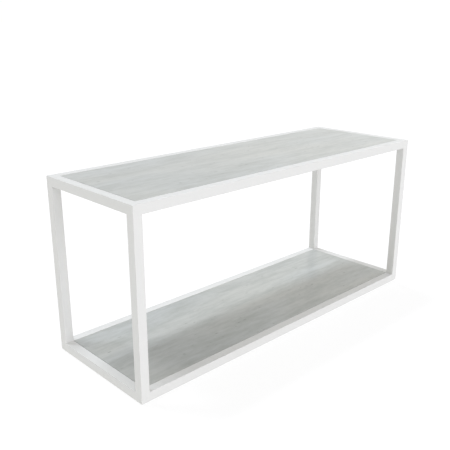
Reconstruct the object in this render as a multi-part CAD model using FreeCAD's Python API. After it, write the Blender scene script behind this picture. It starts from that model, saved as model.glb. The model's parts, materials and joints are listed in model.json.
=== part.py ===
import FreeCAD
import Part
import math
import os

# Console table: a welded box frame of square steel tube, with a stone top and a stone shelf
# let in flush, standing on four levelling glides.
#
# Millimetres. X runs along the table from left to right, Y from front to back, and Z up.
# The origin is on the floor, under the middle of the table.

# ---------------------------------------------------------------- driving dimensions
LENGTH = 1700.0
DEPTH = 575.0
FRAME_HEIGHT = 762.0
TUBE = 38.1                 # outside of the square tube, 1 1/2 in
TUBE_WALL = 2.1             # 14 gauge
EDGE_RADIUS = 1.5           # every outside edge of the tube

PANEL_THICKNESS = 20.0
PANEL_GAP = 1.0             # between the stone and the tube, all round
PANEL_ARRIS = 0.8           # chamfer that takes the sharp edge off the stone

PAD_LENGTH = 30.0
PAD_WIDTH = 14.0
PAD_THICKNESS = 1.5
PADS_PER_LONG_LEDGE = 5
PADS_PER_SHORT_LEDGE = 1
PADS_PER_CROSS_BAR = 3

LEDGE_FLANGE = 20.0         # how far the ledge reaches in under the stone
LEDGE_HEIGHT = 14.0
LEDGE_SHEET = 2.5
LEDGE_ROOT_RADIUS = 1.5
LEDGE_WELD_LEG = 2.5
LEDGE_WELD_LENGTH = 25.0
WELDS_PER_LONG_LEDGE = 6
WELDS_PER_SHORT_LEDGE = 2

CROSS_BAR_WIDTH = 30.0
CROSS_BAR_WALL = 1.5
CROSS_BAR_RADIUS = 1.0
CROSS_BAR_NAMES = ("left", "middle", "right")

GLIDE_INSET = 60.0          # from the end of the frame to the glide's centre
THREAD_RADIUS = 4.0         # M8
THREAD_CLEARANCE = 0.05
WALL_HOLE_RADIUS = 4.5
STEM_LENGTH = 25.0          # above the collar
STEM_TIP_CHAMFER = 1.0
COLLAR_FLATS = 13.0
COLLAR_HEIGHT = 2.45
NUT_FLATS = 13.0
NUT_HEIGHT = 6.5
NUT_CHAMFER = 0.8
BASE_RADIUS = 10.0
BASE_HEIGHT = 3.5
BASE_EDGE_RADIUS = 0.8
SWIVEL_GAP = 0.05           # between the turning stem and the base that stays still
SWIVEL_PIN_RADIUS = 2.5
SWIVEL_HEAD_RADIUS = 4.0
SWIVEL_HEAD_THICKNESS = 0.8
SWIVEL_HEAD_RECESS = 0.4    # of the riveted head above the floor

# ---------------------------------------------------------------- worked out from them
HALF_LENGTH = LENGTH / 2
HALF_DEPTH = DEPTH / 2
INNER_X = HALF_LENGTH - TUBE        # inner faces of the end rails
INNER_Y = HALF_DEPTH - TUBE         # inner faces of the long rails
FRAME_BOTTOM = BASE_HEIGHT + SWIVEL_GAP + COLLAR_HEIGHT
FRAME_TOP = FRAME_BOTTOM + FRAME_HEIGHT
TOP_RING_BOTTOM = FRAME_TOP - TUBE
BOTTOM_RING_TOP = FRAME_BOTTOM + TUBE
LEG_HEIGHT = TOP_RING_BOTTOM - BOTTOM_RING_TOP
LEVELS = {"top": FRAME_TOP, "bottom": BOTTOM_RING_TOP}
PANEL_NAMES = {"top": "top_panel", "bottom": "shelf_panel"}
LEDGE_DROP = PANEL_THICKNESS + PAD_THICKNESS    # from the stone's face to the ledge's top
CORNERS = {
    "front_left": (-1, -1),
    "front_right": (1, -1),
    "back_left": (-1, 1),
    "back_right": (1, 1),
}
X_AXIS = FreeCAD.Vector(1, 0, 0)
Z_AXIS = FreeCAD.Vector(0, 0, 1)


# ---------------------------------------------------------------- shapes used all over
def block(x_low, x_high, y_low, y_high, z_low, z_high):
    """A box between two limits along each axis."""
    corner = FreeCAD.Vector(x_low, y_low, z_low)
    return Part.makeBox(x_high - x_low, y_high - y_low, z_high - z_low, corner)


def centred_block(length, width, z_low, z_high):
    """A box centred on the Z axis."""
    return block(-length / 2, length / 2, -width / 2, width / 2, z_low, z_high)


def prism(points, direction):
    """A flat outline pushed along a direction."""
    outline = Part.makePolygon([FreeCAD.Vector(*p) for p in [*points, points[0]]])
    return Part.Face(outline).extrude(FreeCAD.Vector(*direction))


def cylinder(radius, z_low, z_high):
    """A round bar on the Z axis."""
    return Part.makeCylinder(radius, z_high - z_low, FreeCAD.Vector(0, 0, z_low))


def hexagon_bar(flats, z_low, z_high):
    """A six-sided bar on the Z axis, measured across its flats."""
    reach = flats / math.sqrt(3)
    points = []
    for k in range(6):
        angle = math.radians(60 * k)
        points.append((reach * math.cos(angle), reach * math.sin(angle), z_low))
    return prism(points, (0, 0, z_high - z_low))


def edges_where(shape, wanted):
    """The edges whose middle point and direction satisfy a test."""
    return [
        edge for edge in shape.Edges
        if wanted(edge.CenterOfMass, edge.tangentAt(edge.FirstParameter))
    ]


def is_vertical(direction):
    return abs(direction.z) > 0.999


def moved(shape, x, y, z=0.0):
    """A copy of a shape, shifted."""
    copy = shape.copy()
    copy.translate(FreeCAD.Vector(x, y, z))
    return copy


def spread(count, reach):
    """Places evenly spaced between -reach and +reach, or the middle for a single one."""
    if count == 1:
        return [0.0]
    return [-reach + 2 * reach * k / (count - 1) for k in range(count)]


# ---------------------------------------------------------------- frame
def leg_outline(x_side, y_side, z_low, z_high):
    """The outside of one upright, a square bar with rounded edges, at its corner."""
    bar = centred_block(TUBE, TUBE, z_low, z_high)
    bar = bar.makeFillet(EDGE_RADIUS, edges_where(bar, lambda _, along: is_vertical(along)))
    return moved(bar, x_side * (HALF_LENGTH - TUBE / 2), y_side * (HALF_DEPTH - TUBE / 2))


def ring_outside(z_low, joint_z):
    """The outside of a rectangle of four mitred tubes, from z_low up.

    joint_z is the face that the legs are welded to. The rounded edges are filled flush
    there, as the ground weld leaves them.
    """
    z_high = z_low + TUBE
    ring = centred_block(LENGTH, DEPTH, z_low, z_high)
    ring = ring.cut(centred_block(2 * INNER_X, 2 * INNER_Y, z_low, z_high))

    def outside_edge(middle, along):
        is_inner = abs(middle.x) < INNER_X + 1 and abs(middle.y) < INNER_Y + 1
        return not (is_vertical(along) and is_inner)

    ring = ring.makeFillet(EDGE_RADIUS, edges_where(ring, outside_edge))
    middle_z = z_low + TUBE / 2
    for x_side, y_side in CORNERS.values():
        low, high = min(middle_z, joint_z), max(middle_z, joint_z)
        ring = ring.fuse(leg_outline(x_side, y_side, low, high))
    return ring.removeSplitter()


def ring_cavity(z_low):
    """The hollow inside a rectangle of four mitred tubes."""
    low, high = z_low + TUBE_WALL, z_low + TUBE - TUBE_WALL
    outer = centred_block(LENGTH - 2 * TUBE_WALL, DEPTH - 2 * TUBE_WALL, low, high)
    inner = centred_block(2 * (INNER_X + TUBE_WALL), 2 * (INNER_Y + TUBE_WALL), low, high)
    return outer.cut(inner)


def mitre_sector(side, z_low):
    """The block that one rail of a rectangle lies in, between its two mitre planes."""
    outside, inside = (HALF_LENGTH, HALF_DEPTH), (INNER_X, INNER_Y)
    turns = {
        "front": ((-1, -1), (1, -1)),
        "right": ((1, -1), (1, 1)),
        "back": ((1, 1), (-1, 1)),
        "left": ((-1, 1), (-1, -1)),
    }
    first, last = turns[side]
    points = [
        (first[0] * outside[0], first[1] * outside[1], z_low),
        (last[0] * outside[0], last[1] * outside[1], z_low),
        (last[0] * inside[0], last[1] * inside[1], z_low),
        (first[0] * inside[0], first[1] * inside[1], z_low),
    ]
    return prism(points, (0, 0, TUBE))


def glide_positions():
    """Where the four glides stand, under the long rails near the legs."""
    x, y = HALF_LENGTH - GLIDE_INSET, HALF_DEPTH - TUBE / 2
    return {name: (x_side * x, y_side * y) for name, (x_side, y_side) in CORNERS.items()}


def rails(level):
    """The four hollow, mitred rails of the top or the bottom of the frame."""
    z_low = TOP_RING_BOTTOM if level == "top" else FRAME_BOTTOM
    joint_z = TOP_RING_BOTTOM if level == "top" else BOTTOM_RING_TOP
    ring = ring_outside(z_low, joint_z).cut(ring_cavity(z_low))
    if level == "bottom":
        for x, y in glide_positions().values():
            hole = cylinder(WALL_HOLE_RADIUS, z_low - 1, z_low + TUBE_WALL + 1)
            ring = ring.cut(moved(hole, x, y))
    return {
        f"{level}_{side}_rail": ring.common(mitre_sector(side, z_low))
        for side in ("front", "back", "left", "right")
    }


def legs():
    """The four hollow uprights, cut square and welded between the two rectangles."""
    bore = TUBE - 2 * TUBE_WALL
    made = {}
    for name, (x_side, y_side) in CORNERS.items():
        outside = leg_outline(x_side, y_side, BOTTOM_RING_TOP, TOP_RING_BOTTOM)
        hollow = centred_block(bore, bore, BOTTOM_RING_TOP, TOP_RING_BOTTOM)
        x, y = x_side * (HALF_LENGTH - TUBE / 2), y_side * (HALF_DEPTH - TUBE / 2)
        made[f"{name}_leg"] = outside.cut(moved(hollow, x, y))
    return made


# ---------------------------------------------------------------- stone panels
def panel(level):
    """A stone slab that lies flush with the tubes round it, its edges eased."""
    face_z = LEVELS[level]
    slab = centred_block(
        2 * (INNER_X - PANEL_GAP), 2 * (INNER_Y - PANEL_GAP), face_z - PANEL_THICKNESS, face_z
    )
    return slab.makeChamfer(PANEL_ARRIS, slab.Edges)


# ---------------------------------------------------------------- what carries the stone
def ledge_section(top_z):
    """The ledge's L-shaped section as (distance in from the rail, height) points."""
    return [
        (0, top_z),
        (LEDGE_FLANGE, top_z),
        (LEDGE_FLANGE, top_z - LEDGE_SHEET),
        (LEDGE_SHEET, top_z - LEDGE_SHEET),
        (LEDGE_SHEET, top_z - LEDGE_HEIGHT),
        (0, top_z - LEDGE_HEIGHT),
    ]


def ledge_bar(length, top_z):
    """A bent steel ledge along X, its back on the plane Y = 0 and its flange towards +Y."""
    points = [(-length / 2, y, z) for y, z in ledge_section(top_z)]
    bar = prism(points, (length, 0, 0))

    def root(middle, along):
        at_root = abs(middle.y - LEDGE_SHEET) < 0.01 and abs(middle.z - top_z + LEDGE_SHEET) < 0.01
        return at_root and abs(along.x) > 0.999

    return bar.makeFillet(LEDGE_ROOT_RADIUS, edges_where(bar, root))


def weld_bead(top_z):
    """A short weld under the ledge's lower edge, against the plane Y = 0."""
    foot_z = top_z - LEDGE_HEIGHT
    half = LEDGE_WELD_LENGTH / 2
    points = [(-half, 0, foot_z), (-half, LEDGE_WELD_LEG, foot_z), (-half, 0, foot_z - LEDGE_WELD_LEG)]
    return prism(points, (LEDGE_WELD_LENGTH, 0, 0))


def pad(face_z):
    """A rubber pad along X, filling the space between ledge and stone."""
    low = face_z - LEDGE_DROP
    return centred_block(PAD_LENGTH, PAD_WIDTH, low, low + PAD_THICKNESS)


def to_side(shape, side):
    """Turns a piece made along X against the plane Y = 0 onto a rail's inner face."""
    turned = shape.copy()
    angle = {"front": 0, "right": 90, "back": 180, "left": 270}[side]
    turned.rotate(FreeCAD.Vector(0, 0, 0), Z_AXIS, angle)
    offset = {
        "front": (0, -INNER_Y),
        "right": (INNER_X, 0),
        "back": (0, INNER_Y),
        "left": (-INNER_X, 0),
    }[side]
    turned.translate(FreeCAD.Vector(offset[0], offset[1], 0))
    return turned


def ledge_length(side):
    """The long ledges run from end to end, and the short ones fit between their flanges."""
    if side in ("front", "back"):
        return 2 * INNER_X
    return 2 * (INNER_Y - LEDGE_FLANGE)


def ledges(level):
    """The four ledges of one level, each with the run of short welds that holds it."""
    top_z = LEVELS[level] - LEDGE_DROP
    made = {}
    welds = []
    for side in ("front", "back", "left", "right"):
        length = ledge_length(side)
        made[f"{level}_{side}_ledge"] = to_side(ledge_bar(length, top_z), side)
        is_long = side in ("front", "back")
        count = WELDS_PER_LONG_LEDGE if is_long else WELDS_PER_SHORT_LEDGE
        for x in spread(count, length / 2 - 2 * LEDGE_WELD_LENGTH):
            welds.append(to_side(moved(weld_bead(top_z), x, 0), side))
    made[f"{level}_ledge_welds"] = Part.makeCompound(welds)
    return made


def cross_bar_places():
    """The cross bars divide the table's length evenly."""
    pitch = 2 * INNER_X / (len(CROSS_BAR_NAMES) + 1)
    return [pitch * (k - (len(CROSS_BAR_NAMES) - 1) / 2) for k in range(len(CROSS_BAR_NAMES))]


def cross_bars(level):
    """Flat hollow bars from ledge to ledge, which stiffen the stone."""
    high = LEVELS[level] - LEDGE_DROP
    low = high - LEDGE_HEIGHT
    length = 2 * (INNER_Y - LEDGE_FLANGE)
    bar = centred_block(CROSS_BAR_WIDTH, length, low, high)
    bar = bar.makeFillet(CROSS_BAR_RADIUS, edges_where(bar, lambda _, along: abs(along.y) > 0.999))
    hollow = centred_block(
        CROSS_BAR_WIDTH - 2 * CROSS_BAR_WALL, length, low + CROSS_BAR_WALL, high - CROSS_BAR_WALL
    )
    bar = bar.cut(hollow)
    return {
        f"{level}_{name}_cross_bar": moved(bar, x, 0)
        for name, x in zip(CROSS_BAR_NAMES, cross_bar_places())
    }


def pads(level):
    """The rubber pads that the stone is bedded on, as one group of separate blocks."""
    face_z = LEVELS[level]
    along_x = pad(face_z)
    placed = []
    for side in ("front", "back", "left", "right"):
        is_long = side in ("front", "back")
        count = PADS_PER_LONG_LEDGE if is_long else PADS_PER_SHORT_LEDGE
        for x in spread(count, ledge_length(side) / 2 - 2 * PAD_LENGTH):
            placed.append(to_side(moved(along_x, x, LEDGE_FLANGE / 2), side))
    along_y = along_x.copy()
    along_y.rotate(FreeCAD.Vector(0, 0, 0), Z_AXIS, 90)
    for x in cross_bar_places():
        for y in spread(PADS_PER_CROSS_BAR, INNER_Y - 3 * LEDGE_FLANGE):
            placed.append(moved(along_y, x, y))
    return {f"{PANEL_NAMES[level]}_pads": Part.makeCompound(placed)}


# ---------------------------------------------------------------- levelling glides
def glide_base():
    """The round nylon base that stands on the floor and stays still while the stem turns."""
    disc = cylinder(BASE_RADIUS, 0, BASE_HEIGHT)
    rims = edges_where(disc, lambda _, along: not is_vertical(along))
    disc = disc.makeFillet(BASE_EDGE_RADIUS, rims)
    through = cylinder(SWIVEL_PIN_RADIUS + SWIVEL_GAP, -1, BASE_HEIGHT + 1)
    head_top = SWIVEL_HEAD_RECESS + SWIVEL_HEAD_THICKNESS
    pocket = cylinder(SWIVEL_HEAD_RADIUS + SWIVEL_GAP, -1, head_top + SWIVEL_GAP)
    return disc.cut(through).cut(pocket)


def glide_stem():
    """The steel screw: a riveted head, a swivel pin, a six-sided collar and the M8 stem."""
    collar_low = FRAME_BOTTOM - COLLAR_HEIGHT
    head_top = SWIVEL_HEAD_RECESS + SWIVEL_HEAD_THICKNESS
    stem = cylinder(THREAD_RADIUS, FRAME_BOTTOM - 0.5, FRAME_BOTTOM + STEM_LENGTH)
    tip = edges_where(stem, lambda middle, _: middle.z > FRAME_BOTTOM + STEM_LENGTH - 0.1)
    stem = stem.makeChamfer(STEM_TIP_CHAMFER, tip)
    head = cylinder(SWIVEL_HEAD_RADIUS, SWIVEL_HEAD_RECESS, head_top)
    pin = cylinder(SWIVEL_PIN_RADIUS, head_top - 0.1, collar_low + 0.1)
    collar = hexagon_bar(COLLAR_FLATS, collar_low, FRAME_BOTTOM)
    return stem.fuse(collar).fuse(pin).fuse(head).removeSplitter()


def glide_nut():
    """The weld nut that stands on the tube's bottom wall, inside it."""
    low = FRAME_BOTTOM + TUBE_WALL
    high = low + NUT_HEIGHT
    nut = hexagon_bar(NUT_FLATS, low, high)
    reach = NUT_FLATS / math.sqrt(3)
    cone = Part.makeCone(
        reach + NUT_HEIGHT, reach - NUT_CHAMFER, NUT_HEIGHT + NUT_CHAMFER,
        FreeCAD.Vector(0, 0, low - NUT_CHAMFER),
    )
    return nut.common(cone).cut(cylinder(THREAD_RADIUS + THREAD_CLEARANCE, low - 1, high + 1))


def glides():
    """The four levelling glides, each of a base, a stem and its weld nut."""
    made = {}
    for name, (x, y) in glide_positions().items():
        made[f"{name}_glide_base"] = moved(glide_base(), x, y)
        made[f"{name}_glide_stem"] = moved(glide_stem(), x, y)
        made[f"{name}_glide_nut"] = moved(glide_nut(), x, y)
    return made


# ---------------------------------------------------------------- the whole table
def table():
    """Every piece of the table by name."""
    pieces = legs()
    for level in LEVELS:
        pieces.update(rails(level))
        pieces[PANEL_NAMES[level]] = panel(level)
        pieces.update(ledges(level))
        pieces.update(cross_bars(level))
        pieces.update(pads(level))
    pieces.update(glides())
    return pieces


os.makedirs("parts", exist_ok=True)
for piece_name, piece in table().items():
    piece.exportStep(f"parts/{piece_name}.step")
    solids = piece.Solids
    volume = sum(solid.Volume for solid in solids)
    print(f"{piece_name:28s} {len(solids):3d} solids {volume / 1000:10.2f} cm3")
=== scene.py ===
import json
import math

import bmesh
import bpy
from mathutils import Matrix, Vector


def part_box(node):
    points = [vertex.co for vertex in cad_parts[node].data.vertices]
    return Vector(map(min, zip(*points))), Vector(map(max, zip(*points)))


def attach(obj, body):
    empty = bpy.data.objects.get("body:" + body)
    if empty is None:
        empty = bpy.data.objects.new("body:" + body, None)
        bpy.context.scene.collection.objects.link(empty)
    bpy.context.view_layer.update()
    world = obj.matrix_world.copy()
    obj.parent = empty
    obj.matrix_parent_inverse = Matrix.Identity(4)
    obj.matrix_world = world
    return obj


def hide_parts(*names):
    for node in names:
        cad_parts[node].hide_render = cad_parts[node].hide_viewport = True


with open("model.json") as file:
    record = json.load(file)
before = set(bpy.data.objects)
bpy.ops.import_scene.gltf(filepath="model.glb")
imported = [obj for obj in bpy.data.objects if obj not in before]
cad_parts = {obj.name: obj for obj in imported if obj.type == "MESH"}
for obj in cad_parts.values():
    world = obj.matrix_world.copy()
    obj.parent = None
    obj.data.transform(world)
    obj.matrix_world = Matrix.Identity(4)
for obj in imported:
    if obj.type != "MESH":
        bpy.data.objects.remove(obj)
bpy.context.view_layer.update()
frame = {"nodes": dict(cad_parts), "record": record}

# A white steel console table with a stone top and a stone shelf, in a plain studio.
# Metres. X runs along the table from left to right, Y from front to back, and Z up.
# The CAD parts keep their shapes, and get their finishes here.

# ---------------------------------------------------------------- where each CAD node belongs
BODY_OF = {
    node: body for body, nodes in frame["record"]["behaviour"]["bodies"].items() for node in nodes
}

# ---------------------------------------------------------------- camera
CAMERA_PLACE = (-1.993, -1.930, 1.353)
CAMERA_AZIMUTH = -43.58        # degrees; 0 looks along +Y
CAMERA_ELEVATION = 18.24       # degrees above the horizon, looking down
CAMERA_LENS = 50.2             # millimetres
CAMERA_SENSOR = 36.0           # millimetres, across

# ---------------------------------------------------------------- studio
FLOOR_SIZE = 400.0
FLOOR_COLOUR = (0.21, 0.21, 0.21, 1.0)
FLOOR_ROUGHNESS = 0.9
FLOOR_GLOW = 0.82              # its own light, which keeps the shadow on it faint
FLOOR_GLOW_COLOUR = (1.0, 1.0, 1.0, 1.0)
HORIZON_LIGHT = (1.03, 1.03, 1.005, 1.0)  # the backdrop down at the horizon
HORIZON_LOW = 0.12             # heights on the dome, as sines, between which
HORIZON_HIGH = 0.40            # the backdrop turns into the dome's own light
DOME_EVEN = (0.15, 0.15, 0.15)
DOME_LOBES = {                 # light added towards each side
    "front": ((0, -1, 0), (3.84, 3.84, 4.13)),
    "left": ((-1, 0, 0), (0.62, 0.60, 0.48)),
    "right": ((1, 0, 0), (2.10, 2.05, 1.90)),
    "back": ((0, 1, 0), (0.70, 0.70, 0.70)),
}
LOBE_FOCUS = 3.0               # how quickly each of them fades away from its middle
KEY_TILT = 22.0                # degrees from straight up, towards the back
KEY_LEAN = -5.0                # degrees from straight up to the row's middle; less than 0 is left
KEY_SPREAD = 12.0              # degrees from the row's middle to the lamps at its ends
KEY_LAMPS = 5
KEY_WIDTH = 7.9                # degrees across each lamp, which softens its shadows
KEY_POWER = 1.77               # of the whole row
KEY_COLOUR = (0.93, 0.98, 1.06)


# ---------------------------------------------------------------- node helpers
def add_node(tree, kind, inputs=None, **settings):
    """A node with its settings, its inputs given as values or as sockets to link from."""
    made = tree.nodes.new(kind)
    for name, value in settings.items():
        setattr(made, name, value)
    for name, value in (inputs or {}).items():
        if isinstance(value, bpy.types.NodeSocket):
            tree.links.new(value, made.inputs[name])
        else:
            made.inputs[name].default_value = value
    return made


def calculate(tree, operation, first, second=0.0, third=0.0):
    """One step of arithmetic on numbers or sockets."""
    inputs = {0: first, 1: second, 2: third}
    return add_node(tree, "ShaderNodeMath", inputs, operation=operation).outputs[0]


def remap(tree, value, low, high, new_low=0.0, new_high=1.0):
    """Turns one range of numbers into another, smoothly, and stops at its ends."""
    made = add_node(
        tree, "ShaderNodeMapRange",
        {"Value": value, "From Min": low, "From Max": high, "To Min": new_low, "To Max": new_high},
        interpolation_type="SMOOTHSTEP",
    )
    return made.outputs["Result"]


def mix_colours(tree, amount, first, second):
    """A blend from the first colour to the second."""
    made = tree.nodes.new("ShaderNodeMix")
    made.data_type = "RGBA"
    for socket, value in ((made.inputs[0], amount), (made.inputs[6], first), (made.inputs[7], second)):
        if isinstance(value, bpy.types.NodeSocket):
            tree.links.new(value, socket)
        else:
            socket.default_value = value
    return made.outputs[2]


def noise(tree, place, detail, scale=1.0):
    """Soft random blotches, about one unit across at a scale of 1."""
    inputs = {"Vector": place, "Scale": scale, "Detail": detail}
    return add_node(tree, "ShaderNodeTexNoise", inputs).outputs["Fac"]


def stretched(tree, place, size, start=(0.0, 0.0, 0.0)):
    """The place measured in cells of a given size; a size of 0 leaves that axis out."""
    inputs = {"Vector": place, "Scale": [1 / s if s else 0.0 for s in size], "Location": start}
    return add_node(tree, "ShaderNodeMapping", inputs).outputs["Vector"]


def new_material(name):
    """A material with its node tree, its shader and the place on the object in metres."""
    material = bpy.data.materials.new(name)
    material.use_nodes = True
    tree = material.node_tree
    place = tree.nodes.new("ShaderNodeTexCoord").outputs["Object"]
    return material, tree, tree.nodes["Principled BSDF"], place


def add_bump(tree, shader, height, distance):
    """Gives the shader a surface relief, whose height from 0 to 1 spans a distance in metres."""
    made = add_node(tree, "ShaderNodeBump", {"Height": height, "Distance": distance, "Strength": 1.0})
    tree.links.new(made.outputs["Normal"], shader.inputs["Normal"])


# ---------------------------------------------------------------- materials
NOISE_RANGE = (0.3, 0.7)       # most of a noise texture's values lie between these

PAINT_COLOUR = (0.662, 0.662, 0.645, 1.0)
PAINT_THICK_COLOUR = (0.680, 0.680, 0.665, 1.0)
PAINT_CLOUDS = 9.0             # to the metre, where the coat is a little thicker
PAINT_ROUGHNESS = (0.44, 0.52)
PAINT_SPECULAR = 0.35
PEEL_BUMPS = 420.0             # to the metre
PEEL_HEIGHT = 0.00004

# Marks in the stone are noise, stretched to a size, with a start that sets them apart.
STONE_DARK = (0.342, 0.356, 0.337, 1.0)
STONE_COOL = (0.442, 0.459, 0.452, 1.0)
STONE_WARM = (0.454, 0.460, 0.435, 1.0)
STONE_PIT = (0.24, 0.245, 0.23, 1.0)
STONE_ROUGHNESS = (0.292, 0.278)   # of its dark beds and of its light ones
STONE_LAYERS = (               # size of its marks, their start, fine detail, share
    ((0.60, 0.080, 0.0), (0.0, 0.0, 0.0), 2.0, 0.35),
    ((0.17, 0.026, 0.0), (3.1, 7.7, 0.0), 3.0, 0.34),
    ((0.06, 0.010, 0.0), (9.2, 1.3, 0.0), 1.0, 0.14),
    ((0.030, 0.016, 0.0), (4.4, 2.9, 0.0), 2.0, 0.13),
    ((0.004, 0.0025, 0.0), (1.7, 6.3, 0.0), 1.0, 0.04),
)
STONE_TONES = (0.34, 0.62)     # sums of the layers that make the darkest and the lightest stone
HUE_MARKS = ((0.80, 0.25, 0.0), (5.2, 0.4, 0.0))
HUE_RANGE = (0.35, 0.65)
DRIFT_SIZE = (0.70, 0.30, 0.0)
BED_DRIFT = 0.06               # how far the beds wander to either side
HAIRLINE_MARKS = ((0.050, 0.0028, 0.0), (8.3, 5.9, 0.0))
HAIRLINE_RANGE = (0.66, 0.78)
HAIRLINE_SHOWS = 0.40
PIT_CELL = (0.036, 0.010, 0.0)     # each cell has room for one pit
PIT_CROWD_MARKS = ((0.35, 0.09, 0.0), (2.6, 4.1, 0.0))
PIT_CROWD_RANGE = (0.40, 0.65)
PIT_FREE = (0.985, 0.87)       # share of the cells with no pit, in clear beds and in pitted ones
PIT_CORE = 0.06                # of a cell, from a pit's middle
PIT_RIM = (0.18, 0.42)         # of a cell, for the smallest pit and the largest
PIT_DEPTH = 0.00004
PIT_ROUGHER = 0.10             # than the stone round it
UNDERSIDE = (-0.9, -0.7)       # Z of the normal, from fully underside to not at all
BACKING_DARK = (0.64, 0.64, 0.61, 1.0)
BACKING_LIGHT = (0.72, 0.72, 0.69, 1.0)
BACKING_CLOUDS = 14.0          # to the metre
BACKING_ROUGHNESS = 0.55
MESH_COLOUR = (0.80, 0.80, 0.78, 1.0)
MESH_STEP = 0.008              # from one thread of the backing mesh to the next
MESH_THREAD = 0.0012           # from a thread's middle to where it fades out
MESH_SHOWS = 0.6               # how much of its colour comes through the resin

RUBBER_DARK = (0.018, 0.018, 0.019, 1.0)
RUBBER_LIGHT = (0.040, 0.040, 0.042, 1.0)
RUBBER_GRAIN = 900.0           # to the metre
RUBBER_RELIEF = 0.00005
RUBBER_ROUGHNESS = 0.75

STEEL_DARK = (0.50, 0.51, 0.53, 1.0)
STEEL_LIGHT = (0.72, 0.72, 0.71, 1.0)
STEEL_CLOUDS = 260.0           # to the metre
STEEL_RELIEF = 0.00002
STEEL_ROUGHNESS = (0.24, 0.42)

NYLON_DARK = (0.56, 0.56, 0.54, 1.0)
NYLON_LIGHT = (0.64, 0.64, 0.62, 1.0)
NYLON_GRAIN = 1400.0           # to the metre
NYLON_RELIEF = 0.00003
NYLON_ROUGHNESS = (0.42, 0.55)


def powder_coat():
    """White satin powder coat: a fine orange peel, and a thickness that varies slightly."""
    material, tree, shader, place = new_material("white_powder_coat")
    cloud = noise(tree, place, detail=3.0, scale=PAINT_CLOUDS)
    peel = noise(tree, place, detail=2.0, scale=PEEL_BUMPS)
    colour = mix_colours(tree, cloud, PAINT_COLOUR, PAINT_THICK_COLOUR)
    tree.links.new(colour, shader.inputs["Base Color"])
    roughness = remap(tree, cloud, *NOISE_RANGE, *PAINT_ROUGHNESS)
    tree.links.new(roughness, shader.inputs["Roughness"])
    shader.inputs["Specular IOR Level"].default_value = PAINT_SPECULAR
    add_bump(tree, shader, peel, distance=PEEL_HEIGHT)
    return material


def mesh_backing(tree, place):
    """The underside's fibre mesh, set in resin: a fine grid over a cloudy grey."""
    axes = add_node(tree, "ShaderNodeSeparateXYZ", {0: place})
    threads = 0.0
    for axis in "XY":
        away = calculate(tree, "PINGPONG", axes.outputs[axis], MESH_STEP / 2)
        thread = remap(tree, away, 0.0, MESH_THREAD, MESH_SHOWS, 0.0)
        threads = calculate(tree, "MAXIMUM", thread, threads)
    cloud = noise(tree, place, detail=3.0, scale=BACKING_CLOUDS)
    resin = mix_colours(tree, cloud, BACKING_DARK, BACKING_LIGHT)
    return mix_colours(tree, threads, resin, MESH_COLOUR)


def stone_beds(tree, place):
    """The place on the slab, with the beds drifting slowly to either side along it."""
    flat = stretched(tree, place, (1.0, 1.0, 0.0))
    drift = noise(tree, stretched(tree, flat, DRIFT_SIZE), detail=2.0)
    shift = calculate(tree, "MULTIPLY", calculate(tree, "SUBTRACT", drift, 0.5), BED_DRIFT)
    bent = add_node(tree, "ShaderNodeCombineXYZ", {"Y": shift}).outputs[0]
    return add_node(tree, "ShaderNodeVectorMath", {0: flat, 1: bent}, operation="ADD").outputs[0]


def stone_tone(tree, beds):
    """From 0 where the stone is dark to 1 where it is light: streaks of several sizes."""
    total = 0.0
    for size, start, detail, share in STONE_LAYERS:
        layer = noise(tree, stretched(tree, beds, size, start), detail=detail)
        total = calculate(tree, "MULTIPLY_ADD", layer, share, total)
    return remap(tree, total, *STONE_TONES)


def underside(tree):
    """1 on faces that look down, and 0 on all others."""
    facing = tree.nodes.new("ShaderNodeTexCoord").outputs["Normal"]
    up = add_node(tree, "ShaderNodeSeparateXYZ", {0: facing}).outputs["Z"]
    return remap(tree, up, *UNDERSIDE, 1.0, 0.0)


def honed_stone():
    """Light grey stone cut along its beds: soft streaks along X, fine grain and filled pits."""
    material, tree, shader, place = new_material("vein_cut_stone")
    beds = stone_beds(tree, place)
    tone = stone_tone(tree, beds)
    pit = stone_pits(tree, beds)
    below = underside(tree)
    hue = noise(tree, stretched(tree, beds, *HUE_MARKS), detail=1.0)
    hairline = noise(tree, stretched(tree, beds, *HAIRLINE_MARKS), detail=1.0)
    hairline = remap(tree, hairline, *HAIRLINE_RANGE, 0.0, HAIRLINE_SHOWS)

    light = mix_colours(tree, remap(tree, hue, *HUE_RANGE), STONE_COOL, STONE_WARM)
    colour = mix_colours(tree, tone, STONE_DARK, light)
    colour = mix_colours(tree, hairline, colour, STONE_PIT)
    colour = mix_colours(tree, pit, colour, STONE_PIT)
    colour = mix_colours(tree, below, colour, mesh_backing(tree, place))
    tree.links.new(colour, shader.inputs["Base Color"])

    roughness = remap(tree, tone, 0.0, 1.0, *STONE_ROUGHNESS)
    roughness = calculate(tree, "MULTIPLY_ADD", pit, PIT_ROUGHER, roughness)
    backing = calculate(tree, "MULTIPLY", below, BACKING_ROUGHNESS)
    roughness = calculate(tree, "MAXIMUM", roughness, backing)
    tree.links.new(roughness, shader.inputs["Roughness"])
    add_bump(tree, shader, calculate(tree, "SUBTRACT", 1.0, pit), distance=PIT_DEPTH)
    return material


def stone_pits(tree, beds):
    """Small filled pits, longer than they are wide, gathered in some of the beds."""
    cells = add_node(
        tree, "ShaderNodeTexVoronoi",
        {"Vector": stretched(tree, beds, PIT_CELL), "Scale": 1.0, "Randomness": 1.0},
    )
    random = add_node(tree, "ShaderNodeSeparateColor", {0: cells.outputs["Color"]})
    pick, size = random.outputs[0], random.outputs[1]
    crowd = noise(tree, stretched(tree, beds, *PIT_CROWD_MARKS), detail=1.0)
    free = remap(tree, crowd, *PIT_CROWD_RANGE, *PIT_FREE)
    chosen = calculate(tree, "GREATER_THAN", pick, free)
    rim = remap(tree, size, 0.0, 1.0, *PIT_RIM)
    hollow = remap(tree, cells.outputs["Distance"], PIT_CORE, rim, 1.0, 0.0)
    return calculate(tree, "MULTIPLY", chosen, hollow)


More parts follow.
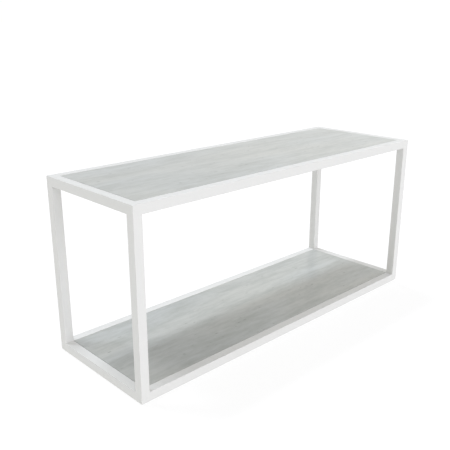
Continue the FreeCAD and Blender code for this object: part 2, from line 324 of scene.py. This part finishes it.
def rubber():
    """Black rubber with a fine grain."""
    material, tree, shader, place = new_material("black_rubber")
    grain = noise(tree, place, detail=3.0, scale=RUBBER_GRAIN)
    colour = mix_colours(tree, grain, RUBBER_DARK, RUBBER_LIGHT)
    tree.links.new(colour, shader.inputs["Base Color"])
    shader.inputs["Roughness"].default_value = RUBBER_ROUGHNESS
    add_bump(tree, shader, grain, distance=RUBBER_RELIEF)
    return material


def plated_steel():
    """Zinc-plated steel with a cloudy, slightly uneven shine."""
    material, tree, shader, place = new_material("zinc_plated_steel")
    cloud = noise(tree, place, detail=4.0, scale=STEEL_CLOUDS)
    colour = mix_colours(tree, cloud, STEEL_DARK, STEEL_LIGHT)
    tree.links.new(colour, shader.inputs["Base Color"])
    shader.inputs["Metallic"].default_value = 1.0
    roughness = remap(tree, cloud, *NOISE_RANGE, *STEEL_ROUGHNESS)
    tree.links.new(roughness, shader.inputs["Roughness"])
    add_bump(tree, shader, cloud, distance=STEEL_RELIEF)
    return material


def moulded_nylon():
    """Light grey nylon with the fine texture of its mould."""
    material, tree, shader, place = new_material("moulded_nylon")
    grain = noise(tree, place, detail=3.0, scale=NYLON_GRAIN)
    colour = mix_colours(tree, grain, NYLON_DARK, NYLON_LIGHT)
    tree.links.new(colour, shader.inputs["Base Color"])
    roughness = remap(tree, grain, *NOISE_RANGE, *NYLON_ROUGHNESS)
    tree.links.new(roughness, shader.inputs["Roughness"])
    add_bump(tree, shader, grain, distance=NYLON_RELIEF)
    return material


MATERIALS = {
    "frame_paint": powder_coat,
    "stone": honed_stone,
    "rubber_pad": rubber,
    "plated_steel": plated_steel,
    "nylon": moulded_nylon,
}


def finish_nodes():
    """Puts the finish of each node's material slot on it."""
    finishes = {name: make() for name, make in MATERIALS.items()}
    for part in frame["record"]["subparts"]:
        piece = frame["nodes"][part["node"]]
        piece.data.materials.clear()
        piece.data.materials.append(finishes[part["material_slot"]])


# ---------------------------------------------------------------- detailed pieces
SHARP_ANGLE = 35.0             # degrees; edges that turn more than this stay crisp
SAME_POINT = 0.000001          # points closer than this are one point
SIDES_ROUND = 48               # divisions of a turned piece, a multiple of 6 for the hexagon
# heights above the stem's lowest point, with the radius there
RIVET_HEAD = ((0.0, 0.0032), (0.0001, 0.0037), (0.0003, 0.0040), (0.0008, 0.0040))
PIN_RADIUS = 0.0025
COLLAR_BOTTOM = 0.00315        # heights above the stem's lowest point
COLLAR_TOP = 0.0056
COLLAR_FLATS = 0.013
COLLAR_CHAMFER = 0.0005
THREAD_RADIUS = 0.0040
THREAD_ROOT = 0.0033
THREAD_PITCH = 0.00125
THREAD_STEPS = 8               # rings in each turn of the thread
THREAD_FLANK = 3.2             # depths that a flank would climb in one pitch
THREAD_PEAK = 1.4              # depths; where the flanks would meet if the crest weren't flat at 1
THREAD_RUN_OUT = 0.0015
TIP_CHAMFER = 0.0010
# a bead's outline from below to the side, as shares of its legs
BEAD_SECTION = ((0.0, 1.0), (0.34, 0.86), (0.62, 0.62), (0.86, 0.34), (1.0, 0.0))
BEAD_STATIONS = 61
BEAD_RIPPLE = 0.08             # of the bead's leg
BEAD_RIPPLE_STEP = 0.0023
BEAD_END = 0.0022              # length over which the bead rises at each end
BEAD_TIP = 0.03                # of its full size, where the rise begins


def new_piece(name, points, faces, node, body):
    """A piece that stands for a CAD node, with that node's finish and body."""
    mesh = bpy.data.meshes.new(name)
    mesh.from_pydata(points, [], faces)
    mesh.polygons.foreach_set("use_smooth", [True] * len(mesh.polygons))
    mesh.set_sharp_from_angle(angle=math.radians(SHARP_ANGLE))
    mesh.materials.append(frame["nodes"][node].data.materials[0])
    piece = bpy.data.objects.new(name, mesh)
    bpy.context.scene.collection.objects.link(piece)
    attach(piece, body)
    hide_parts(node)
    return piece


def turned_mesh(rings, centre):
    """Points and faces of a closed turned shape; each ring is a height and a radius by angle."""
    points, faces = [], []
    for height, radius in rings:
        for k in range(SIDES_ROUND):
            angle = 2 * math.pi * k / SIDES_ROUND
            reach = radius(angle)
            points.append((
                centre.x + reach * math.cos(angle),
                centre.y + reach * math.sin(angle),
                centre.z + height,
            ))
    for ring in range(len(rings) - 1):
        for k in range(SIDES_ROUND):
            low, next_low = ring * SIDES_ROUND + k, ring * SIDES_ROUND + (k + 1) % SIDES_ROUND
            faces.append((low, next_low, next_low + SIDES_ROUND, low + SIDES_ROUND))
    last = (len(rings) - 1) * SIDES_ROUND
    faces.append(tuple(reversed(range(SIDES_ROUND))))
    faces.append(tuple(range(last, last + SIDES_ROUND)))
    return points, faces


def plain(radius):
    """The same radius all round."""
    return lambda angle: radius


def hexagon(most):
    """A hexagon's radius by angle, its corners cut back to the given radius."""
    third = math.pi / 3
    return lambda angle: min(most, COLLAR_FLATS / 2 / math.cos(angle % third - third / 2))


def thread(height, bottom, top):
    """The screw thread's radius by angle, fading out at the collar and at the chamfered tip."""
    def radius(angle):
        turn = (height / THREAD_PITCH - angle / (2 * math.pi)) % 1.0
        ridge = min(1.0, max(0.0, THREAD_PEAK - THREAD_FLANK * abs(turn - 0.5)))
        ridge *= min(1.0, (height - bottom) / THREAD_RUN_OUT)
        reach = THREAD_ROOT + (THREAD_RADIUS - THREAD_ROOT) * ridge
        return min(reach, THREAD_RADIUS - TIP_CHAMFER + (top - height))
    return radius


def make_stems():
    """Each glide's screw: a riveted head, a pin, a six-sided collar and a real thread."""
    corner = COLLAR_FLATS / math.sqrt(3)
    for node in sorted(n for n in frame["nodes"] if n.endswith("_glide_stem")):
        low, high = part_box(node)
        centre = Vector(((low.x + high.x) / 2, (low.y + high.y) / 2, low.z))
        top = high.z - low.z
        rings = [(height, plain(radius)) for height, radius in RIVET_HEAD]
        rings += [(RIVET_HEAD[-1][0], plain(PIN_RADIUS)), (COLLAR_BOTTOM, plain(PIN_RADIUS))]
        for height, cut in (
            (COLLAR_BOTTOM, COLLAR_CHAMFER),
            (COLLAR_BOTTOM + COLLAR_CHAMFER, 0.0),
            (COLLAR_TOP - COLLAR_CHAMFER, 0.0),
            (COLLAR_TOP, COLLAR_CHAMFER),
        ):
            rings.append((height, hexagon(corner - cut)))
        steps = round((top - COLLAR_TOP) / THREAD_PITCH * THREAD_STEPS)
        for step in range(steps + 1):
            height = COLLAR_TOP + (top - COLLAR_TOP) * step / steps
            rings.append((height, thread(height, COLLAR_TOP, top)))
        points, faces = turned_mesh(rings, centre)
        new_piece(node.replace("_glide_stem", "_threaded_stem"), points, faces, node, BODY_OF[node])


def separate_boxes(node):
    """The boxes of a CAD node's separate solids, such as the welds along a ledge."""
    cad = bmesh.new()
    cad.from_mesh(frame["nodes"][node].data)
    bmesh.ops.remove_doubles(cad, verts=cad.verts, dist=SAME_POINT)
    waiting, boxes = set(cad.verts), []
    while waiting:
        front = [waiting.pop()]
        members = list(front)
        while front:
            near = {edge.other_vert(v) for v in front for edge in v.link_edges} & waiting
            waiting -= near
            front = list(near)
            members += front
        places = [v.co for v in members]
        boxes.append((
            Vector([min(place[axis] for place in places) for axis in range(3)]),
            Vector([max(place[axis] for place in places) for axis in range(3)]),
        ))
    cad.free()
    return sorted(boxes, key=lambda box: tuple(box[0]))


def weld_bead(low, high):
    """Points and faces of one rippled bead in the corner under a ledge, inside a box."""
    along = 0 if high.x - low.x > high.y - low.y else 1
    across = 1 - along
    outer, inner = (high, low) if low[across] > 0 else (low, high)
    side_leg = inner[across] - outer[across]
    down_leg = low.z - high.z
    length = high[along] - low[along]
    points, faces = [], []
    wide = len(BEAD_SECTION) + 1
    for k in range(BEAD_STATIONS):
        way = length * k / (BEAD_STATIONS - 1)
        from_end = min(way, length - way, BEAD_END) / BEAD_END
        swell = BEAD_TIP + (1 - BEAD_TIP) * math.sqrt(1 - (1 - from_end) ** 2)
        swell *= 1 - BEAD_RIPPLE * (0.5 + 0.5 * math.cos(2 * math.pi * way / BEAD_RIPPLE_STEP))
        for aside, below in ((0.0, 0.0),) + BEAD_SECTION:
            point = [0.0, 0.0, high.z + down_leg * below * swell]
            point[along] = low[along] + way
            point[across] = outer[across] + side_leg * aside * swell
            points.append(tuple(point))
    for k in range(BEAD_STATIONS - 1):
        for j in range(wide):
            here, beside = k * wide + j, k * wide + (j + 1) % wide
            faces.append((here, beside, beside + wide, here + wide))
    faces.append(tuple(reversed(range(wide))))
    faces.append(tuple(range((BEAD_STATIONS - 1) * wide, BEAD_STATIONS * wide)))
    return points, faces


def make_weld_beads():
    """The short welds that hold the ledges, as rippled beads under the same paint."""
    for node in sorted(n for n in frame["nodes"] if n.endswith("_ledge_welds")):
        all_points, all_faces = [], []
        for low, high in separate_boxes(node):
            points, faces = weld_bead(low, high)
            start = len(all_points)
            all_points += points
            all_faces += [tuple(start + corner for corner in face) for face in faces]
        name = node.replace("_ledge_welds", "_weld_beads")
        piece = new_piece(name, all_points, all_faces, node, BODY_OF[node])
        face_outward(piece.data)


def face_outward(mesh):
    """Turns every face of a closed mesh to face outwards."""
    work = bmesh.new()
    work.from_mesh(mesh)
    bmesh.ops.recalc_face_normals(work, faces=work.faces)
    work.to_mesh(mesh)
    work.free()


# ---------------------------------------------------------------- studio
def make_floor():
    """A plain pale floor with a glow of its own, so that the shadow on it stays faint."""
    half = FLOOR_SIZE / 2
    mesh = bpy.data.meshes.new("floor")
    corners = [(-half, -half, 0), (half, -half, 0), (half, half, 0), (-half, half, 0)]
    mesh.from_pydata(corners, [], [(0, 1, 2, 3)])
    floor = bpy.data.objects.new("floor", mesh)
    bpy.context.scene.collection.objects.link(floor)
    material, _, shader, _ = new_material("pale_floor")
    shader.inputs["Base Color"].default_value = FLOOR_COLOUR
    shader.inputs["Roughness"].default_value = FLOOR_ROUGHNESS
    shader.inputs["Specular IOR Level"].default_value = 0.0
    shader.inputs["Emission Color"].default_value = FLOOR_GLOW_COLOUR
    shader.inputs["Emission Strength"].default_value = FLOOR_GLOW
    mesh.materials.append(material)


def make_dome():
    """An even white studio round the table, a little brighter to some sides than to others."""
    world = bpy.data.worlds.new("studio")
    bpy.context.scene.world = world
    world.use_nodes = True
    tree = world.node_tree
    towards = tree.nodes.new("ShaderNodeTexCoord").outputs["Generated"]
    total = DOME_EVEN
    for direction, colour in DOME_LOBES.values():
        facing = add_node(
            tree, "ShaderNodeVectorMath", {0: towards, 1: direction}, operation="DOT_PRODUCT"
        )
        lobe = calculate(tree, "MAXIMUM", facing.outputs["Value"], 0.0)
        lobe = calculate(tree, "POWER", lobe, LOBE_FOCUS)
        sum_node = add_node(
            tree, "ShaderNodeVectorMath", {0: lobe, 1: colour, 2: total}, operation="MULTIPLY_ADD"
        )
        total = sum_node.outputs[0]
    height = add_node(tree, "ShaderNodeSeparateXYZ", {0: towards}).outputs["Z"]
    above = remap(tree, height, HORIZON_LOW, HORIZON_HIGH)
    total = mix_colours(tree, above, HORIZON_LIGHT, total)
    background = tree.nodes["Background"]
    background.inputs["Strength"].default_value = 1.0
    tree.links.new(total, background.inputs["Color"])


def make_key_lights():
    """A row of soft lamps, high up behind the table and in line with it."""
    for k in range(KEY_LAMPS):
        side = 2 * k / (KEY_LAMPS - 1) - 1
        light = bpy.data.lights.new(f"key_{k + 1}", "SUN")
        light.angle = math.radians(KEY_WIDTH)
        light.energy = KEY_POWER / KEY_LAMPS
        light.color = KEY_COLOUR
        lamp = bpy.data.objects.new(light.name, light)
        bpy.context.scene.collection.objects.link(lamp)
        lean = math.radians(KEY_LEAN + side * KEY_SPREAD)
        lamp.rotation_euler = (-math.radians(KEY_TILT), lean, 0.0)


def make_camera():
    """The camera at its place, looking down at the table from the front left."""
    camera = bpy.data.objects.new("camera", bpy.data.cameras.new("camera"))
    bpy.context.scene.collection.objects.link(camera)
    camera.data.sensor_width = CAMERA_SENSOR
    camera.data.lens = CAMERA_LENS
    camera.location = CAMERA_PLACE
    azimuth, elevation = math.radians(CAMERA_AZIMUTH), math.radians(CAMERA_ELEVATION)
    back = Vector((
        math.sin(azimuth) * math.cos(elevation),
        -math.cos(azimuth) * math.cos(elevation),
        math.sin(elevation),
    ))
    camera.rotation_mode = "QUATERNION"
    camera.rotation_quaternion = (-back).to_track_quat("-Z", "Y")
    bpy.context.scene.camera = camera


make_camera()
finish_nodes()
make_stems()
make_weld_beads()
make_floor()
make_dome()
make_key_lights()
bpy.context.scene.view_settings.view_transform = "Standard"
